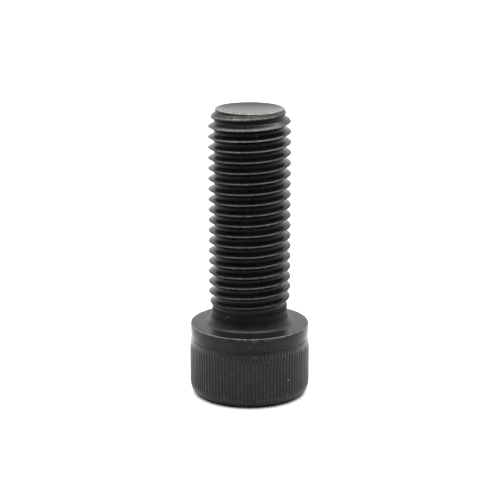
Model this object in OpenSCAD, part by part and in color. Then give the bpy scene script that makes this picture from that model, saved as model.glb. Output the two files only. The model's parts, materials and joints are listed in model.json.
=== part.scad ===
// Hexagon socket head cap screw with a full-length coarse metric thread.
// The screw is one forged and rolled piece of steel, so it is one solid in one node.
// The axis is Z. The origin is the centre of the bearing face under the head,
// the thread points up along +Z, and the head hangs below the origin.

/* [Thread] */
// Diameter over the thread crests
crest_d = 15.7; // [15.68:0.01:15.8]
// Diameter on which groove and ridge are equally wide
pitch_d = 14.6; // [14.56:0.01:14.66]
// Diameter at the bottom of the groove
root_d = 13.4; // [13.2:0.05:13.5]
// Advance in one turn
pitch = 2; // [1.9:0.1:2.1]
// Angle between the two flanks of the groove
flank_angle = 60; // [55:1:60]
// Height of the ridge on the -X side that is nearest to mid-length
ridge_z = 22.2; // [21.2:0.1:23.2]

/* [Shank] */
// Length from the bearing face to the tip
shank_l = 41.6; // [38:0.1:45]
// Diameter of the plain neck under the thread
neck_d = 14.4; // [14.1:0.05:14.6]
// Height at which the neck starts to widen to the thread
neck_l = 3; // [2.7:0.1:3.3]
// Height at which the thread has its full diameter
full_thread_z = 6.2; // [5.6:0.1:6.8]
// Width of the fillet between neck and bearing face, measured on the face
fillet_r = 1.4; // [1:0.1:1.8]
// Height of that fillet, measured up the neck
fillet_h = 2.2; // [1:0.1:2.5]
// Diameter of the rim round the tip
tip_d = 12.9; // [12.4:0.1:13.1]
// Length of the lead cone at the tip
lead_l = 2.6; // [2:0.1:3]
// Depth of the hollow in the tip
dish_depth = 0.7; // [0.2:0.05:0.8]
// Width of the flat rim round the hollow
rim_w = 0.3; // [0.2:0.1:0.6]

/* [Head] */
// Height of the head
head_h = 13.9; // [13:0.1:16]
// Diameter over the knurl
head_d = 23; // [23:0.1:24]
// Diameter of the plain band next to the bearing face
band_d = 22.6; // [22.5:0.02:22.6]
// Height of the plain band
band_h = 2.6; // [2:0.1:3]
// Distance from the bearing face to the start of the full knurl
knurl_start = 4.5; // [3.8:0.1:5]
// Number of knurl grooves
knurl_count = 102; // [90:1:110]
// Radial depth of the knurl
knurl_depth = 0.18; // [0.1:0.02:0.18]
// Share of the knurl pitch that a groove takes
knurl_groove_share = 0.7; // [0.5:0.05:0.8]
// Radial size of the rounding at the end of the head
end_round_r = 1.5; // [0.6:0.1:1.5]
// Axial size of the rounding at the end of the head
end_round_h = 3; // [1:0.1:3.5]

/* [Socket] */
// Width across the flats of the hexagon
socket_af = 14.03; // [14.03:0.01:14.2]
// Depth of the hexagon
socket_depth = 8; // [7:0.1:8.5]
// Height of the cone at the bottom of the socket
socket_cone_h = 1; // [0.5:0.1:1.5]
// Diameter of the countersink at the mouth
mouth_d = 17.2; // [16.4:0.1:17.5]
// Angle between the countersink and the end of the head
mouth_angle = 30; // [20:1:45]

/* [Hidden] */

$fn = 96;
eps = 0.01;                 // overlap that keeps two surfaces from coinciding
round_steps = 8;            // straight pieces in each rounded stretch of the outline
sections_per_turn = 24;     // groove sections in one turn
fade_turns = 0.5;           // turns over which the groove gets its full depth
start_lift = 0.5;           // share of its depth that the groove lacks where it starts
overrun_turns = 0.6;        // turns by which the groove cutter passes the tip
cutter_margin = 0.1;        // how far a cutter stands out of the surface it cuts
runout_bend_h = 0.44;       // share of the runout's height where its slope changes
runout_bend_r = 0.7;        // share of the runout's widening where its slope changes
cone_inset = 0.2;           // ledge between the socket's flats and the cone at its bottom
dish_power = 0.7;           // below 1, the hollow in the tip is flatter in its middle

crest_r = crest_d / 2;
pitch_r = pitch_d / 2;
root_r = root_d / 2;
neck_r = neck_d / 2;
tip_r = tip_d / 2;
band_r = band_d / 2;
head_r = head_d / 2;
knurl_root_r = head_r - knurl_depth;
flat_r = socket_af / 2;
mouth_r = mouth_d / 2;

// The runout is a steep cone and then a shallow one, which meet here.
bend_z = neck_l + runout_bend_h * (full_thread_z - neck_l);
bend_r = neck_r + runout_bend_r * (crest_r - neck_r);

// The groove starts on the -X side, half a pitch under the lowest ridge above the neck.
turns_below = floor((ridge_z - neck_l) / pitch);
groove_start_z = ridge_z - pitch * (turns_below + 0.5);
groove_turns = (shank_l - groove_start_z) / pitch + overrun_turns;
section_count = ceil(groove_turns * sections_per_turn);
cutter_r = crest_r + cutter_margin;

// Points on a quarter ellipse from the angle a0 to the angle a1
function quarter(cx, cy, rx, ry, a0, a1) = [
    for (i = [0 : round_steps])
        let (a = a0 + (a1 - a0) * i / round_steps)
        [cx + rx * cos(a), cy + ry * sin(a)]
];

// Points on the hollow of the tip, from its centre to its edge
dish_r = tip_r - rim_w;
dish_points = [
    for (i = [0 : round_steps - 1])
        let (r = dish_r * i / round_steps)
        [r, shank_l - dish_depth * pow(1 - pow(r / dish_r, 2), dish_power)]
];

// Half of the section through the plain blank, from the axis outwards
blank_outline = concat(
    [[0, -head_h]],
    quarter(head_r - end_round_r, -head_h + end_round_h, end_round_r, end_round_h, -90, 0),
    [
        [head_r, -knurl_start],
        [band_r, -band_h],
        [band_r, 0]
    ],
    quarter(neck_r + fillet_r, fillet_h, fillet_r, fillet_h, 270, 180),
    [
        [neck_r, neck_l],
        [bend_r, bend_z],
        [crest_r, full_thread_z],
        [crest_r, shank_l - lead_l],
        [tip_r, shank_l],
        [dish_r, shank_l]
    ],
    [for (i = [round_steps - 1 : -1 : 0]) dish_points[i]]
);

// How much shallower the groove is at section i than along the full thread
function lift(i) =
    (crest_r - root_r) * start_lift * max(0, 1 - i / (fade_turns * sections_per_turn));

// Half of the groove's width at radius r
function half_width(r) = pitch / 4 + (r - pitch_r) * tan(flank_angle / 2);

// The four corners of the groove's section i
function groove_section(i) =
    let (
        a = 180 + 360 * i / sections_per_turn,
        z = groove_start_z + pitch * i / sections_per_turn,
        bottom_r = root_r + lift(i),
        bottom_w = half_width(bottom_r),
        top_w = half_width(cutter_r)
    )
    [
        [cutter_r * cos(a), cutter_r * sin(a), z - top_w],
        [bottom_r * cos(a), bottom_r * sin(a), z - bottom_w],
        [bottom_r * cos(a), bottom_r * sin(a), z + bottom_w],
        [cutter_r * cos(a), cutter_r * sin(a), z + top_w]
    ];

// Solid blank with head, neck, thread cylinder and tip
module blank() {
    rotate_extrude() polygon(blank_outline);
}

// Cutter that leaves the helical thread
module thread_groove() {
    points = [for (i = [0 : section_count]) each groove_section(i)];
    walls = [
        for (i = [0 : section_count - 1], j = [0 : 3])
            let (
                a = 4 * i + j,
                b = 4 * i + (j + 1) % 4,
                c = b + 4,
                d = a + 4
            )
            each [[c, b, a], [d, c, a]]
    ];
    last = 4 * section_count;
    ends = [[0, 1, 2], [0, 2, 3], [last + 2, last + 1, last], [last + 3, last + 2, last]];
    polyhedron(points, concat(walls, ends), convexity = 20);
}

// Ring of straight grooves round the head, up to the plain band, which they do not reach
module knurl_grooves() {
    outer_r = head_r + cutter_margin;
    spacing = 360 / knurl_count;
    half_groove = spacing * knurl_groove_share / 2;
    edge_r = head_r / cos(half_groove);
    ridges = [
        for (i = [0 : knurl_count - 1])
            let (
                middle = i * spacing,
                left = middle + half_groove,
                right = middle + spacing - half_groove
            )
            each [
                [knurl_root_r * cos(middle), knurl_root_r * sin(middle)],
                [edge_r * cos(left), edge_r * sin(left)],
                [outer_r * cos(left), outer_r * sin(left)],
                [outer_r * cos(right), outer_r * sin(right)],
                [edge_r * cos(right), edge_r * sin(right)]
            ]
    ];
    translate([0, 0, -head_h - cutter_margin])
        linear_extrude(head_h + cutter_margin - band_h / 2)
            difference() {
                circle(r = outer_r + 1);
                polygon(ridges);
            }
}

// Hexagon socket with its countersunk mouth and shallow conical bottom
module hex_socket() {
    translate([0, 0, -head_h - eps]) {
        cylinder(r = flat_r / cos(30), h = socket_depth + eps, $fn = 6);
        cylinder(r1 = mouth_r, r2 = flat_r, h = (mouth_r - flat_r) * tan(mouth_angle));
    }
    translate([0, 0, -head_h + socket_depth - eps])
        cylinder(r1 = flat_r - cone_inset, r2 = 0, h = socket_cone_h);
}

module cap_screw() {
    color([0.11, 0.11, 0.11])
        difference() {
            blank();
            thread_groove();
            knurl_grooves();
            hex_socket();
        }
}

cap_screw();
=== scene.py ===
import json
import math

import bpy
import numpy as np
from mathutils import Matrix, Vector


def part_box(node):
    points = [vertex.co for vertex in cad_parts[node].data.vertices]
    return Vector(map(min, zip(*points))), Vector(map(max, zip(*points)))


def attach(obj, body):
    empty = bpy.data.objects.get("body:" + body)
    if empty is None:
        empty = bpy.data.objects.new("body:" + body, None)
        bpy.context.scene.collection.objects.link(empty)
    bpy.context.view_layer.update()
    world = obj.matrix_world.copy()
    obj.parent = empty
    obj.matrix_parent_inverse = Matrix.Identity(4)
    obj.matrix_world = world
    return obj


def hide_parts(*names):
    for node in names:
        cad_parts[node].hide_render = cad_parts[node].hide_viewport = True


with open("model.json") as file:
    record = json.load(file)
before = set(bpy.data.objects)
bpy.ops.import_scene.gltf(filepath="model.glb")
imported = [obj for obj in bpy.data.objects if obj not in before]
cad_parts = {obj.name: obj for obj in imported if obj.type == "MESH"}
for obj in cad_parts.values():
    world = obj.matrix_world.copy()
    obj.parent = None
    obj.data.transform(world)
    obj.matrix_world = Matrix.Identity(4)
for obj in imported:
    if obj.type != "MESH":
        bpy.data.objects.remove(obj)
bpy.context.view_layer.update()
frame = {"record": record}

# ---------------------------------------------------------------- dimensions
# All lengths are in millimetres until a mesh is made. The frame gives what it can.
# Heights count from the bearing face: the thread is above it and the head below.
MM = 0.001
MOUNTS = {m["name"]: m for m in frame["record"]["mounts"]}
NODE_LO, NODE_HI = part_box("cap_screw")
END_Z = NODE_LO.z / MM                  # socket end of the head
TIP_Z = NODE_HI.z / MM                  # tip of the thread
CREST_R = MOUNTS["thread"]["dims"]["r_mm"]
HEAD_R = MOUNTS["head_side"]["dims"]["r_mm"]
SOCKET_R = MOUNTS["hex_socket"]["dims"]["r_mm"]
SOCKET_DEPTH = MOUNTS["hex_socket"]["dims"]["length_mm"]

# Thread
PITCH = 2.0
ROOT_R = 6.7
CREST_HALF = 0.08                       # half the width of a crest before it is rounded
CREST_ROUND = 0.2                       # how much the crests are rounded
ROOT_ROUND = 0.14                       # how much the roots are rounded
FLANK_SLOPE = 1 / math.tan(math.radians(30))
RIDGE_Z = 22.2                          # a ridge's height on the -X side
GROOVE_START_Z = 3.2                    # where the groove begins, on the -X side
FADE_TURNS = 0.5                        # turns over which the groove gets its full depth
START_LIFT = 0.5                        # share of its depth that the groove lacks where it begins
START_THINNING = 0.08                   # how much thinner the first ridge is on each side

# Neck and the thread's runout
FILLET_R = 1.4                          # width of the fillet, measured on the bearing face
FILLET_H = 2.2                          # its height, measured up the neck
NECK_LOW_R = 7.2                        # the neck between the fillet and the die notch
NECK_TOP = 2.9                          # height at which the neck ends in the die notch
DIE_NOTCH = 0.1                         # depth of the level notch where the rolling dies end
NECK_R = 7.08                           # radius from which the runout widens
RUNOUT_STEEP = 0.36                     # widening per height of the runout's first part
RUNOUT_BEND_R = 7.62
RUNOUT_SHALLOW = 0.12                   # widening per height of its second part
RUNOUT_ROUND = 0.1                      # how much the bends at both ends of that part are rounded

# Tip
TIP_R = 6.45
LEAD_L = 2.6                            # length of the lead cone
LEAD_GROOVE = 0.32                      # depth of the groove's last turn, on the lead cone
LEAD_THINNING = 0.2                     # how much thinner the ridge is on each side there
RIM_W = 0.22
RIM_EDGE = 0.11                         # rounding of the rim's outer edge
DISH_DEPTH = 0.7
DISH_POWER = 0.7                        # below 1, the hollow is flatter in its middle
DISH_SINK = 0.015                       # small step from the rim down to the hollow

# Head
BAND_R = 11.3                           # plain band next to the bearing face
BAND_H = 2.6
BAND_EDGE = 0.07                        # rounding of the bearing face's edge
STEP_END = 2.85                         # end of the small step from the band to the knurl
STEP_R = 11.34
KNURL_START = 4.6                       # where the knurl has its full diameter
KNURL_COUNT = 102
KNURL_DEPTH = 0.18
END_ROUND_R = 1.4                       # rounding at the head's end, measured on the end
END_ROUND_H = 2.8                       # the same, measured up the head

# Socket
MOUTH_R = 8.6
MOUTH_SLOPE = math.tan(math.radians(30))
MOUTH_EDGE = 0.03                       # how far the countersink's edges are rubbed off
CONE_DEPTH = 1.0
BOTTOM_SHARE = 0.985                    # size of the socket's bottom against its opening

# Largest chips out of the rim and the bearing face's edge, inwards and downwards
CHIP_IN, CHIP_DOWN = 0.03, 0.02

# Bare steel, from 0 for none to 1 for all
CREST_WEAR = 0.3
TIP_CREST_WEAR = 0.65                   # what is added near the tip
WORN_FROM_Z, WORN_FULL_Z = 33.5, 38.5   # heights between which it is added
LAND_WEAR = 0.22                        # the lead cone between the groove's last turns
RIM_WEAR = 0.78
RIM_INSIDE_WEAR = 0.6
NECK_EDGE_WEAR = 0.1                    # the neck's edge under the die notch
BAND_EDGE_WEAR = 0.8
UNDER_EDGE_WEAR = 0.2                   # just under that edge
UNDER_EDGE_FADE = 1.4                   # how far down the band it fades out
KNURL_WEAR = 0.12
KNURL_START_WEAR = 0.03
KNURL_FOOT_WEAR = 0.06
MOUTH_WEAR = 0.6                        # the countersink's outer edge
HEXAGON_WEAR = 0.5                      # the countersink's inner edge

# Small knocks that bare the steel: angle, radius, height, size, strength
FLECKS = (
    (math.radians(-49.9), HEAD_R, -8.91, 0.3, 1.1),
    (math.radians(-127.5), NECK_LOW_R, 2.65, 0.2, 0.45),
    (math.radians(-122.5), NECK_LOW_R, 2.75, 0.17, 0.45),
)

# Mesh
SHANK_COLUMNS = 192
HEAD_COLUMNS = 6 * KNURL_COUNT
SOCKET_COLUMNS = 144
# Rows from a ridge's centre at 0 to the root's centre at 1
HALF_PITCH_ROWS = [0.08, 0.16, 0.24, 0.4, 0.52, 0.72, 0.85, 0.93]


# ------------------------------------------------------------- shape helpers
def smooth_min(a, b, k):
    """The smaller of a and b, with a rounded change between them where they differ by less than k."""
    h = np.clip(0.5 + 0.5 * (b - a) / k, 0, 1)
    return b * (1 - h) + a * h - k * h * (1 - h)


def smooth_max(a, b, k):
    return -smooth_min(-a, -b, k)


def ramp(x, zero_at, one_at):
    """0 at zero_at, 1 at one_at, a straight slope between them, and level beyond them."""
    return np.clip((x - zero_at) / (one_at - zero_at), 0, 1)


def bell(x, middle, width):
    """1 at the middle, falling off to both sides."""
    return np.exp(-(((x - middle) / width) ** 2))


def wave_noise(seed, *coords):
    """Smooth noise between about -1 and 1, made of a few sine waves with seeded directions."""
    rng = np.random.default_rng(seed)
    waves, gain = 7, 1.6
    total = 0
    for _ in range(waves):
        weights = rng.normal(size=len(coords))
        phase = rng.uniform(0, 2 * math.pi)
        total = total + np.sin(sum(w * c for w, c in zip(weights, coords)) + phase)
    return total / waves * gain


def circle(count):
    return np.arange(count) * 2 * math.pi / count


def arc(a0, a1, steps):
    """Angles in radians from a0 to a1, which are in degrees."""
    return [math.radians(a0 + (a1 - a0) * i / steps) for i in range(steps + 1)]


# --------------------------------------------------------------------- shank
def thread_position(theta, z):
    """Distance along the axis from the nearest ridge's centre, and turns since the groove began."""
    turn = (z - RIDGE_Z) / PITCH - (theta - math.pi) / (2 * math.pi)
    off = np.abs(turn - np.round(turn)) * PITCH
    groove = np.floor(turn) + 0.5
    groove_z = RIDGE_Z + PITCH * (groove + (theta - math.pi) / (2 * math.pi))
    return off, (groove_z - GROOVE_START_Z) / PITCH


def lead_cone(z):
    """Radius of the cone that leads into the thread at the tip."""
    return TIP_R + (TIP_Z - z) * (CREST_R - TIP_R) / LEAD_L


def crest_level(z):
    """Radius of the blank that the groove is rolled into: die notch, runout, full thread, lead cone."""
    bend_z = NECK_TOP + (RUNOUT_BEND_R - NECK_R) / RUNOUT_STEEP
    notch = DIE_NOTCH * ramp(z, NECK_TOP + 0.7, NECK_TOP + 0.4)
    steep = RUNOUT_BEND_R + RUNOUT_STEEP * (z - bend_z) - notch
    shallow = RUNOUT_BEND_R + RUNOUT_SHALLOW * (z - bend_z)
    runout = smooth_min(smooth_min(steep, shallow, RUNOUT_ROUND), CREST_R, RUNOUT_ROUND)
    return smooth_min(smooth_max(runout, NECK_R - DIE_NOTCH, 0.02), lead_cone(z), CREST_ROUND)


def groove_level(theta, z):
    """Radius that the groove alone would give, without the blank's own outline."""
    off, turns = thread_position(theta, z)
    lift = (CREST_R - ROOT_R) * START_LIFT * np.clip(1 - turns / FADE_TURNS, 0, 3)
    thinning = LEAD_THINNING * ramp(z, TIP_Z - 1.7, TIP_Z - 1.1) + START_THINNING * ramp(turns, 1.6, 0.6)
    flank = CREST_R - (off + thinning - CREST_HALF) * FLANK_SLOPE
    lead_root = lead_cone(z) - LEAD_GROOVE * ramp(z, TIP_Z - 0.2, TIP_Z - 0.5)
    return smooth_max(flank, np.minimum(ROOT_R, lead_root) + lift, ROOT_ROUND)


def shank_radius(theta, z):
    return smooth_min(groove_level(theta, z), crest_level(z), CREST_ROUND)


def shank_wear(theta, z):
    """Wear on crests, more towards the tip, and a little on the lead cone."""
    off, turns = thread_position(theta, z)
    on_lead = ramp(z, TIP_Z - LEAD_L, TIP_Z - LEAD_L + 0.6)
    merging = ramp(z, TIP_Z - 0.85, TIP_Z - 0.45)
    crest = bell(off, 0, 0.12 + 0.04 * on_lead) * (1 - 0.2 * on_lead - 0.5 * merging)
    amount = CREST_WEAR + TIP_CREST_WEAR * ramp(z, WORN_FROM_Z, WORN_FULL_Z)
    started = ramp(turns, 0, 1.8)
    land = ramp(groove_level(theta, z) - crest_level(z), 0, 0.1) * on_lead
    return np.maximum(crest * amount * started, LAND_WEAR * land)


# ------------------------------------------------------------ mesh building
class Skin:
    """A closed surface put together from rings of points. Each point has a wear value."""

    def __init__(self):
        self.points, self.faces, self.wear = [], [], []

    def add(self, xyz, wear):
        start = sum(len(p) for p in self.points)
        self.points.append(np.asarray(xyz, float).reshape(-1, 3))
        self.wear.append(np.broadcast_to(np.asarray(wear, float), (len(self.points[-1]),)))
        return np.arange(start, start + len(self.points[-1]))

    def ring(self, theta, radius, z, wear=0.0):
        radius, z = np.broadcast_to(radius, theta.shape), np.broadcast_to(z, theta.shape)
        return self.add(np.stack([radius * np.cos(theta), radius * np.sin(theta), z], 1), wear)

    def band(self, lower, upper):
        """Quads between two rings with the same number of points, facing away from the axis."""
        n = len(lower)
        for i in range(n):
            j = (i + 1) % n
            self.faces.append((lower[i], lower[j], upper[j], upper[i]))

    def bands_down(self, upper, rings):
        """Joins upper to each of the rings in turn, from upper to lower, and returns the last."""
        for ring in rings:
            self.band(ring, upper)
            upper = ring
        return upper

    def bands_up(self, lower, rings):
        """Joins lower to each of the rings in turn, from lower to upper, and returns the last."""
        for ring in rings:
            self.band(lower, ring)
            lower = ring
        return lower

    def zip(self, lower, upper):
        """Triangles between two rings whose points are evenly spaced but differ in number."""
        a, b, i, j = len(lower), len(upper), 0, 0
        while i < a or j < b:
            if j == b or (i < a and (i + 1) * b <= (j + 1) * a):
                self.faces.append((lower[i % a], lower[(i + 1) % a], upper[j % b]))
                i += 1
            else:
                self.faces.append((lower[i % a], upper[(j + 1) % b], upper[j % b]))
                j += 1

    def join_columns(self, rows_a, a, rows_b, b):
        """Faces between two neighbouring columns of points, whose row numbers tell which are level."""
        i = j = 0
        while i < len(a) - 1 or j < len(b) - 1:
            next_a = rows_a[i + 1] if i < len(a) - 1 else math.inf
            next_b = rows_b[j + 1] if j < len(b) - 1 else math.inf
            if next_a == next_b:
                self.faces.append((a[i], b[j], b[j + 1], a[i + 1]))
                i, j = i + 1, j + 1
            elif next_b < next_a:
                self.faces.append((a[i], b[j], b[j + 1]))
                j += 1
            else:
                self.faces.append((a[i], b[j], a[i + 1]))
                i += 1

    def cap(self, ring, centre, upward):
        middle = self.add([centre], 0.0)[0]
        n = len(ring)
        for i in range(n):
            j = (i + 1) % n
            self.faces.append((ring[i], ring[j], middle) if upward else (ring[j], ring[i], middle))


def row_offsets():
    """Heights of the mesh rows in one pitch, counted from a ridge's centre, closer at crest and root."""
    other_half = [2 - h for h in reversed(HALF_PITCH_ROWS)]
    return np.array([0, *HALF_PITCH_ROWS, 1, *other_half]) * PITCH / 2


def build_thread(skin, z_low, z_high):
    """Rows of points follow the helix between two level rings, whose indices are returned."""
    offsets = row_offsets()
    per_turn = len(offsets)
    margin = 0.03                       # a row this close to a level ring is left out
    first = math.floor((z_low - RIDGE_Z) / PITCH) - 2
    last = math.ceil((z_high - RIDGE_Z) / PITCH) + 2
    heights = np.concatenate([RIDGE_Z + PITCH * (n - 0.5) + offsets for n in range(first, last)])
    columns, low_ring, high_ring = [], [], []
    for t in circle(SHANK_COLUMNS):
        z = heights + PITCH * t / (2 * math.pi)
        rows = np.nonzero((z > z_low + margin) & (z < z_high - margin))[0]
        levels = np.concatenate([[z_low], z[rows], [z_high]])
        r = shank_radius(t, levels)
        index = skin.add(np.stack([r * math.cos(t), r * math.sin(t), levels], 1), shank_wear(t, levels))
        columns.append(([-1, *rows.tolist(), len(heights) + per_turn], index))
        low_ring.append(index[0])
        high_ring.append(index[-1])
    for k in range(SHANK_COLUMNS):
        rows_a, a = columns[k]
        rows_b, b = columns[(k + 1) % SHANK_COLUMNS]
        if k == SHANK_COLUMNS - 1:      # one turn further on, the same row has a lower number
            rows_b = [rows_b[0], *[i - per_turn for i in rows_b[1:-1]], rows_b[-1]]
        skin.join_columns(rows_a, a, rows_b, b)
    return np.array(low_ring), np.array(high_ring)


def build_tip(skin, start):
    """Rim with small chips, and the hollow inside it."""
    theta = circle(SHANK_COLUMNS)
    chips = 0.5 + 0.5 * wave_noise(3, 9 * theta, 0.3 * np.sin(theta), 5 * np.cos(theta))
    rings = []
    for a in arc(20, 90, 4):
        r = TIP_R - RIM_EDGE + RIM_EDGE * math.cos(a)
        z = TIP_Z - RIM_EDGE + RIM_EDGE * math.sin(a)
        rings.append(skin.ring(theta, r - CHIP_IN * chips, z - CHIP_DOWN * chips, RIM_WEAR))
    dish_r = TIP_R - RIM_EDGE - RIM_W
    rings.append(skin.ring(theta, dish_r + 0.1, TIP_Z - 0.01, RIM_INSIDE_WEAR))
    steps = 10
    for i in range(steps):
        r = dish_r * (1 - i / steps)
        depth = DISH_DEPTH * (1 - (r / dish_r) ** 2) ** DISH_POWER
        rings.append(skin.ring(theta, r, TIP_Z - depth - DISH_SINK))
    last = skin.bands_up(start, rings)
    skin.cap(last, (0, 0, TIP_Z - DISH_DEPTH - DISH_SINK), upward=True)


def build_under_thread(skin, start):
    """Neck, fillet and the inner part of the bearing face, from the thread downwards."""
    theta = circle(SHANK_COLUMNS)
    # The neck's upper edge is slightly uneven.
    edge_z = NECK_TOP - 0.03 * wave_noise(23, 3 * np.cos(theta), 3 * np.sin(theta)) ** 2
    rings = [
        skin.ring(theta, NECK_LOW_R - 0.03, edge_z - 0.04, NECK_EDGE_WEAR),
        skin.ring(theta, NECK_LOW_R, edge_z - 0.1),
    ]
    for a in arc(180, 270, 14):
        r = NECK_LOW_R + FILLET_R + FILLET_R * math.cos(a)
        rings.append(skin.ring(theta, r, FILLET_H + FILLET_H * math.sin(a)))
    return skin.bands_down(start, rings)


# ---------------------------------------------------------------------- head
def knurl_ridge(theta):
    """1 on the top of each knurl ridge, 0 in the middle of each groove."""
    phase = (theta * KNURL_COUNT / (2 * math.pi)) % 1
    return np.clip((1 - 2 * np.abs(phase - 0.5)) * 1.5, 0, 1)


def knurl_radius(theta, base_r, z):
    """Radius of the head's side: the outline's own radius where the knurl's grooves don't cut into it."""
    soft = 0.85 + 0.15 * wave_noise(11, 7 * theta, z)
    cut = HEAD_R - KNURL_DEPTH * soft * (1 - knurl_ridge(theta))
    return smooth_min(cut, np.full_like(theta, base_r), 0.03)


def head_wear(theta, z):
    """Patchy wear under the bearing face's edge, on the knurl's ridges, and at both ends of the knurl."""
    on_knurl = ramp(z, -STEP_END, -STEP_END - 0.8) * ramp(z, END_Z + 0.8, END_Z + 1.4)
    ridges = KNURL_WEAR * knurl_ridge(theta) ** 2
    at_start = KNURL_START_WEAR * bell(z, -3.5, 0.6)
    at_foot = KNURL_FOOT_WEAR * bell(z, END_Z + 1.65, 0.2)
    under_edge = UNDER_EDGE_WEAR * np.clip(1 + z / UNDER_EDGE_FADE, 0, 1)
    uneven = 0.8 + 0.2 * wave_noise(17, 19 * theta, 0.9 * z)
    return uneven * (on_knurl * (ridges + at_start + at_foot) + under_edge)


def head_outline():
    """Radius and height of points down the head's side, from the plain band to the head's end."""
    outline = [(BAND_R, -0.2), (BAND_R, -0.5), (BAND_R, -1.4), (BAND_R, 0.15 - BAND_H)]
    outline.append((BAND_R + 0.01, -BAND_H))
    for t in (0.3, 0.7, 1):
        outline.append((BAND_R + (STEP_R - BAND_R) * t, -BAND_H - (STEP_END - BAND_H) * t))
    for t in (0.1, 0.35, 0.7, 1):
        outline.append((STEP_R + (HEAD_R - STEP_R) * t, -STEP_END - (KNURL_START - STEP_END) * t))
    straight_end = END_Z + END_ROUND_H
    for t in (0.08, 0.3, 0.5, 0.7, 0.9):
        outline.append((HEAD_R, -KNURL_START + (straight_end + KNURL_START) * t))
    for a in arc(0, 90, 12):
        r = HEAD_R - END_ROUND_R * (1 - math.cos(a))
        outline.append((r, straight_end - END_ROUND_H * math.sin(a)))
    return outline


def build_head_side(skin, inner):
    """Outer part of the bearing face, its chipped edge, plain band, knurl and the rounded end."""
    theta = circle(HEAD_COLUMNS)
    chips = 0.5 + 0.5 * wave_noise(5, 31 * theta, 17 * np.sin(theta), 13 * np.cos(theta))
    upper = skin.ring(theta, BAND_R - 1.2, 0.0)
    skin.zip(upper, inner)
    rings = [skin.ring(theta, BAND_R - BAND_EDGE - 0.06, 0.0)]
    for a in arc(90, 0, 3):
        r = BAND_R - BAND_EDGE + BAND_EDGE * math.cos(a)
        z = -BAND_EDGE + BAND_EDGE * math.sin(a)
        rings.append(skin.ring(theta, r - CHIP_IN * chips, z - CHIP_DOWN * chips, BAND_EDGE_WEAR))
    for r, z in head_outline():
        rings.append(skin.ring(theta, knurl_radius(theta, r, z), z, head_wear(theta, z)))
    return skin.bands_down(upper, rings)


def hexagon_radius(theta, flat_r):
    """Distance from the axis to a hexagon with corners on X, whose flats are flat_r from the axis."""
    from_corner = (theta + math.pi / 6) % (math.pi / 3) - math.pi / 6
    from_flat = math.pi / 6 - np.abs(from_corner)
    return flat_r / np.cos(from_flat)


def build_socket(skin, outer):
    """Flat end of the head, countersink, hexagon and conical bottom."""
    theta = circle(SOCKET_COLUMNS)
    hexagon = hexagon_radius(theta, SOCKET_R)
    upper = skin.ring(theta, MOUTH_R + 0.5, END_Z)
    skin.zip(upper, outer)
    rise = (MOUTH_R - hexagon) * MOUTH_SLOPE
    mouth_z = END_Z + MOUTH_EDGE
    rings = [skin.ring(theta, MOUTH_R + 0.12, END_Z), skin.ring(theta, MOUTH_R, mouth_z, MOUTH_WEAR)]
    for t in (0.2, 0.8):
        rings.append(skin.ring(theta, MOUTH_R + (hexagon - MOUTH_R) * t, END_Z + rise * t + MOUTH_EDGE))
    rings.append(skin.ring(theta, hexagon + 0.02, END_Z + rise + MOUTH_EDGE, HEXAGON_WEAR))
    rings.append(skin.ring(theta, hexagon, END_Z + rise + 0.15))
    for t in (0.35, 0.6, 0.85):
        rings.append(skin.ring(theta, hexagon, END_Z + SOCKET_DEPTH * t))
    bottom = END_Z + SOCKET_DEPTH
    rings.append(skin.ring(theta, hexagon, bottom - 0.12))
    rings.append(skin.ring(theta, hexagon * BOTTOM_SHARE, bottom))
    for t in (0.75, 0.5, 0.25):
        rings.append(skin.ring(theta, hexagon * t * BOTTOM_SHARE, bottom + CONE_DEPTH * (1 - t)))
    last = skin.bands_down(upper, rings)
    skin.cap(last, (0, 0, bottom + CONE_DEPTH), upward=False)


# ------------------------------------------------------------------- surface
def surface_gloss_and_painted_light(points):
    """Gloss of the oxide against that of the thread: below 1 is duller, above 1 is glossier. It also
    paints light and shade: a painted contact shadow on the head's foot, painted shade on the neck, in the
    die notch (darker on the +X side) and on the knurl (most in its grooves and towards the foot), and a
    painted highlight at the knurl's start. The bearing face and the hollow are a little glossier, and the
    plain band a little duller.
    """
    r, z = np.hypot(points[:, 0], points[:, 1]), points[:, 2]
    theta = np.arctan2(points[:, 1], points[:, 0]) % (2 * math.pi)
    # Painted shade on the neck and the thread's runout.
    neck_painted_shade = ramp(z, 0.8, 1.6) * ramp(z, 5, 3.5) * (r < CREST_R + 1)
    # Painted shade in the die notch, darker on the +X side.
    notch = (z > NECK_TOP - 0.02) * ramp(z, NECK_TOP + 0.55, NECK_TOP + 0.35) * (r < NECK_LOW_R)
    # Painted shade on the knurl: duller overall, most in the grooves and towards the foot.
    knurl = ramp(z, -STEP_END, -STEP_END - 1.5) * (r > HEAD_R - END_ROUND_R)
    knurl_painted_shade = -0.42 + 0.2 * knurl_ridge(theta) - 0.12 * ramp(z, -5, -11)
    # Painted highlight where the knurl starts.
    knurl_start_painted_highlight = bell(z, -3.25, 0.7) * (r > BAND_R - 0.2)
    # Painted contact shadow on the head's foot.
    foot_painted_shadow = ramp(z, END_Z + 0.85, END_Z + 0.6) * (r > HEAD_R - END_ROUND_R - 0.1)
    face = ramp(z, -0.1, 0) * ramp(z, 1.6, 0.8)
    dish = (z > TIP_Z - 1) * (r < TIP_R - RIM_W - RIM_EDGE)
    band = (z < -0.1) * (z > -BAND_H) * (r > BAND_R - 0.2)
    changes = (
        (neck_painted_shade, -0.45), (notch, -0.45 - 0.15 * np.cos(theta)), (knurl, knurl_painted_shade), (face, 0.08),
        (foot_painted_shadow, -0.9), (dish, 0.26), (band, -0.15), (knurl_start_painted_highlight, 1.1),
    )
    shine = np.ones(len(points))
    for where, change in changes:
        shine = shine * (1 + change * where)
    return shine


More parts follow.
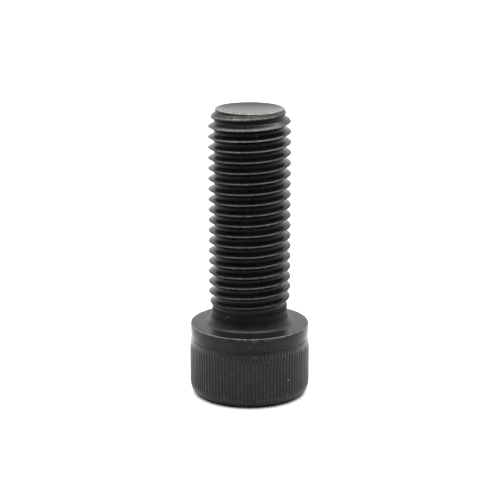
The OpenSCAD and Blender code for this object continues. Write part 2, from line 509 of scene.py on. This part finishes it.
def surface_haze(points):
    """Extra roughness: bearing face and fillet reflect more softly, and so does the thread's last turn."""
    r, z = np.hypot(points[:, 0], points[:, 1]), points[:, 2]
    face = ramp(z, -0.03, 0) * ramp(z, 2.2, 1.4)
    last_turn = ramp(z, TIP_Z - 3.4, TIP_Z - 2.6) * (r > TIP_R - RIM_W - RIM_EDGE)
    return 0.14 * face + 0.06 * last_turn


# --------------------------------------------------------------------- screw
def add_object(name, data):
    item = bpy.data.objects.new(name, data)
    bpy.context.scene.collection.objects.link(item)
    return item


def make_screw():
    skin = Skin()
    low, high = build_thread(skin, NECK_TOP, TIP_Z - RIM_EDGE - 0.06)
    build_tip(skin, high)
    inner = build_under_thread(skin, low)
    outer = build_head_side(skin, inner)
    build_socket(skin, outer)
    mesh = bpy.data.meshes.new("cap_screw_surface")
    points = np.concatenate(skin.points)
    mesh.from_pydata((points * MM).tolist(), [], [tuple(int(i) for i in f) for f in skin.faces])
    # The gloss attribute also paints shade and a highlight on the screw.
    values = {
        "wear": np.concatenate(skin.wear),
        "shine": surface_gloss_and_painted_light(points),
        "haze": surface_haze(points),
    }
    for name, value in values.items():
        attribute = mesh.attributes.new(name, "FLOAT", "POINT")
        attribute.data.foreach_set("value", value.astype(np.float32))
    mesh.polygons.foreach_set("use_smooth", np.ones(len(mesh.polygons), bool))
    mesh.validate()
    mesh.update()
    return add_object("screw_body", mesh)


# ----------------------------------------------------------------- materials
OXIDE_DARK, OXIDE_PALE = (0.0025, 0.0025, 0.0026), (0.0055, 0.0055, 0.0053)
DUST = (0.1, 0.095, 0.088)
RUBBED_STEEL, BARE_STEEL = (0.19, 0.182, 0.17), (0.42, 0.37, 0.3)
FLOOR_GREY, FLOOR_PALE = (0.93, 0.93, 0.93), (0.95, 0.95, 0.95)


class Nodes:
    """Short calls for building one material's node tree."""

    def __init__(self, name):
        self.material = bpy.data.materials.new(name)
        self.material.use_nodes = True
        self.tree = self.material.node_tree
        self.shader = self.tree.nodes["Principled BSDF"]

    def new(self, kind, **settings):
        node = self.tree.nodes.new(kind)
        for key, value in settings.items():
            setattr(node, key, value)
        return node

    def link(self, a, b):
        self.tree.links.new(a, b)

    def place(self):
        return self.new("ShaderNodeTexCoord").outputs["Object"]

    def attribute(self, name):
        return self.new("ShaderNodeAttribute", attribute_name=name).outputs["Fac"]

    def noise(self, where, scale, detail=2.0, rough=0.5):
        node = self.new("ShaderNodeTexNoise")
        node.inputs["Scale"].default_value = scale
        node.inputs["Detail"].default_value = detail
        node.inputs["Roughness"].default_value = rough
        self.link(where, node.inputs["Vector"])
        return node.outputs["Fac"]

    def span(self, value, low, high, out_low=0.0, out_high=1.0):
        node = self.new("ShaderNodeMapRange")
        node.inputs["From Min"].default_value = low
        node.inputs["From Max"].default_value = high
        node.inputs["To Min"].default_value = out_low
        node.inputs["To Max"].default_value = out_high
        self.link(value, node.inputs["Value"])
        return node.outputs["Result"]

    def math(self, operation, a, b):
        node = self.new("ShaderNodeMath", operation=operation)
        for socket, value in zip(node.inputs, (a, b)):
            if isinstance(value, (int, float)):
                socket.default_value = value
            else:
                self.link(value, socket)
        return node.outputs[0]

    def distance(self, where, point):
        node = self.new("ShaderNodeVectorMath", operation="DISTANCE")
        node.inputs[1].default_value = point
        self.link(where, node.inputs[0])
        return node.outputs["Value"]

    def mix_colour(self, factor, a, b):
        node = self.new("ShaderNodeMix", data_type="RGBA")
        self.link(factor, node.inputs[0])
        for socket, value in zip((node.inputs[6], node.inputs[7]), (a, b)):
            if isinstance(value, tuple):
                socket.default_value = (*value, 1)
            else:
                self.link(value, socket)
        return node.outputs[2]


def black_oxide():
    n = Nodes("black_oxide")
    where = n.place()
    # The gloss attribute, which also paints shade and a highlight, sets the specular level and part of the
    # roughness.
    shine = n.attribute("shine")
    grain = n.noise(where, 5200, 2, 0.6)

    # Steel shows where the wear is patchy, and in the flecks.
    breakup = n.span(n.noise(where, 1300, 5, 0.8), 0.35, 0.65, 0.4, 1.6)
    level = n.math("MULTIPLY", n.attribute("wear"), breakup)
    for angle, r, z, size, strength in FLECKS:
        middle = (r * math.cos(angle) * MM, r * math.sin(angle) * MM, z * MM)
        spot = n.span(n.distance(where, middle), 0.4 * size * MM, size * MM, strength, 0)
        level = n.math("MAXIMUM", level, spot)
    rubbed = n.span(level, 0.1, 0.7)
    bare = n.span(level, 0.75, 1.05)
    n.link(n.math("MAXIMUM", rubbed, bare), n.shader.inputs["Metallic"])

    colour = n.mix_colour(n.span(n.noise(where, 220, 3), 0.35, 0.7), OXIDE_DARK, OXIDE_PALE)
    dust = n.span(n.noise(where, 2600, 1), 0.71, 0.8)
    colour = n.mix_colour(n.math("MULTIPLY", dust, 0.6), colour, DUST)
    colour = n.mix_colour(rubbed, colour, RUBBED_STEEL)
    colour = n.mix_colour(bare, colour, BARE_STEEL)
    n.link(colour, n.shader.inputs["Base Color"])

    worn_rough = n.math("ADD", n.span(grain, 0.3, 0.7, 0.16, 0.28), n.math("MULTIPLY", rubbed, 0.2))
    dull_rough = n.math("ADD", n.span(shine, 0.3, 1, 0.3, 0), n.attribute("haze"))
    n.link(n.math("ADD", worn_rough, dull_rough), n.shader.inputs["Roughness"])

    # The level's own value, under its link, is a fallback for a program that doesn't follow the link.
    n.shader.inputs["IOR"].default_value = 1.39
    n.shader.inputs["Specular IOR Level"].default_value = 0.42
    n.link(n.math("MULTIPLY", shine, 0.5), n.shader.inputs["Specular IOR Level"])

    bump = n.new("ShaderNodeBump")
    bump.inputs["Strength"].default_value = 0.2
    bump.inputs["Distance"].default_value = 0.00003
    n.link(grain, bump.inputs["Height"])
    n.link(bump.outputs["Normal"], n.shader.inputs["Normal"])
    return n.material


def pale_floor():
    n = Nodes("pale_floor")
    tone = n.mix_colour(n.noise(n.place(), 30, 2), FLOOR_GREY, FLOOR_PALE)
    n.link(tone, n.shader.inputs["Base Color"])
    n.shader.inputs["Roughness"].default_value = 0.9
    return n.material


# ------------------------------------------------------- stage, all in metres
FLOOR_HALF = 3.0
WORLD_STRENGTH = 1.25
WALL_R, WALL_TOP = 0.046, 0.07
WALL_GAP = 0.0001                       # between the floor and the wall
WALL_COLUMNS = 96
WALL_STRENGTH = 1.35
WALL_GLOW = ((0, 0.15), (0.25, 0.3), (0.59, 0.56), (0.79, 0.7), (1, 1))   # from front to back


def make_floor():
    mesh = bpy.data.meshes.new("floor")
    corners = [(-1, -1), (1, -1), (1, 1), (-1, 1)]
    points = [(FLOOR_HALF * x, FLOOR_HALF * y, NODE_LO.z) for x, y in corners]
    mesh.from_pydata(points, [], [(0, 1, 2, 3)])
    mesh.materials.append(pale_floor())
    return add_object("floor", mesh)


def light_world():
    world = bpy.data.worlds.new("studio")
    bpy.context.scene.world = world
    world.use_nodes = True
    background = world.node_tree.nodes["Background"]
    background.inputs["Color"].default_value = (1, 1, 1, 1)
    background.inputs["Strength"].default_value = WORLD_STRENGTH


def add_softbox(name, place, target, width, height, radiance, colour):
    light = bpy.data.lights.new(name, "AREA")
    light.shape = "RECTANGLE"
    light.size, light.size_y, light.color = width, height, colour
    light.energy = radiance * math.pi * width * height
    box = add_object(name, light)
    box.location = place
    box.rotation_euler = (Vector(target) - Vector(place)).to_track_quat("-Z", "Y").to_euler()


def wall_glow():
    n = Nodes("studio_wall")
    axes = n.new("ShaderNodeSeparateXYZ")
    n.link(n.place(), axes.inputs[0])
    curve = n.new("ShaderNodeFloatCurve")
    knots = curve.mapping.curves[0].points
    knots[0].location = WALL_GLOW[0]
    knots[1].location = WALL_GLOW[-1]
    for x, y in WALL_GLOW[1:-1]:
        knots.new(x, y)
    curve.mapping.update()
    n.link(n.span(axes.outputs["Y"], -WALL_R, WALL_R), curve.inputs["Value"])
    glow = n.new("ShaderNodeEmission")
    glow.inputs["Color"].default_value = (1, 1, 1, 1)
    n.link(n.math("MULTIPLY", curve.outputs[0], WALL_STRENGTH), glow.inputs["Strength"])
    n.link(glow.outputs[0], n.tree.nodes["Material Output"].inputs["Surface"])
    return n.material


def make_wall():
    """A round studio wall that only shows in reflections: dark in front of the screw, white behind it."""
    mesh = bpy.data.meshes.new("studio_wall")
    ring = [(WALL_R * math.cos(t), WALL_R * math.sin(t)) for t in circle(WALL_COLUMNS)]
    points = [(x, y, z) for z in (NODE_LO.z + WALL_GAP, WALL_TOP) for x, y in ring]
    faces = []
    for i in range(WALL_COLUMNS):
        j = (i + 1) % WALL_COLUMNS
        faces.append((i, j, j + WALL_COLUMNS, i + WALL_COLUMNS))
    mesh.from_pydata(points, [], faces)
    mesh.materials.append(wall_glow())
    wall = add_object("studio_wall", mesh)
    for kind in ("camera", "diffuse", "shadow", "transmission"):
        setattr(wall, "visible_" + kind, False)
    return wall


# -------------------------------------------------------------------- camera
CAMERA_PLACE = Vector((0.08, -306.03, 97.05))
CAMERA_TILT = 15.149                    # degrees below level
CAMERA_LENS, SENSOR_W = 119.9808, 36


def make_camera():
    camera = bpy.data.cameras.new("camera")
    camera.sensor_width = SENSOR_W
    camera.lens = CAMERA_LENS
    camera.clip_start, camera.clip_end = 0.01, 20
    holder = add_object("camera", camera)
    holder.location = CAMERA_PLACE * MM
    holder.rotation_euler = (math.radians(90 - CAMERA_TILT), 0, 0)
    return holder


# --------------------------------------------------------------------- scene
screw = make_screw()
screw.data.materials.append(black_oxide())
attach(screw, "root")
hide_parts("cap_screw")

floor = make_floor()
light_world()
add_softbox("overhead_softbox", place=(0, 0.095, 0.45), target=(0, 0.095, 0.01),
            width=0.66, height=0.5, radiance=4.2, colour=(0.96, 0.98, 1))
wall = make_wall()
bpy.context.scene.camera = make_camera()
bpy.context.scene.view_settings.view_transform = "Standard"
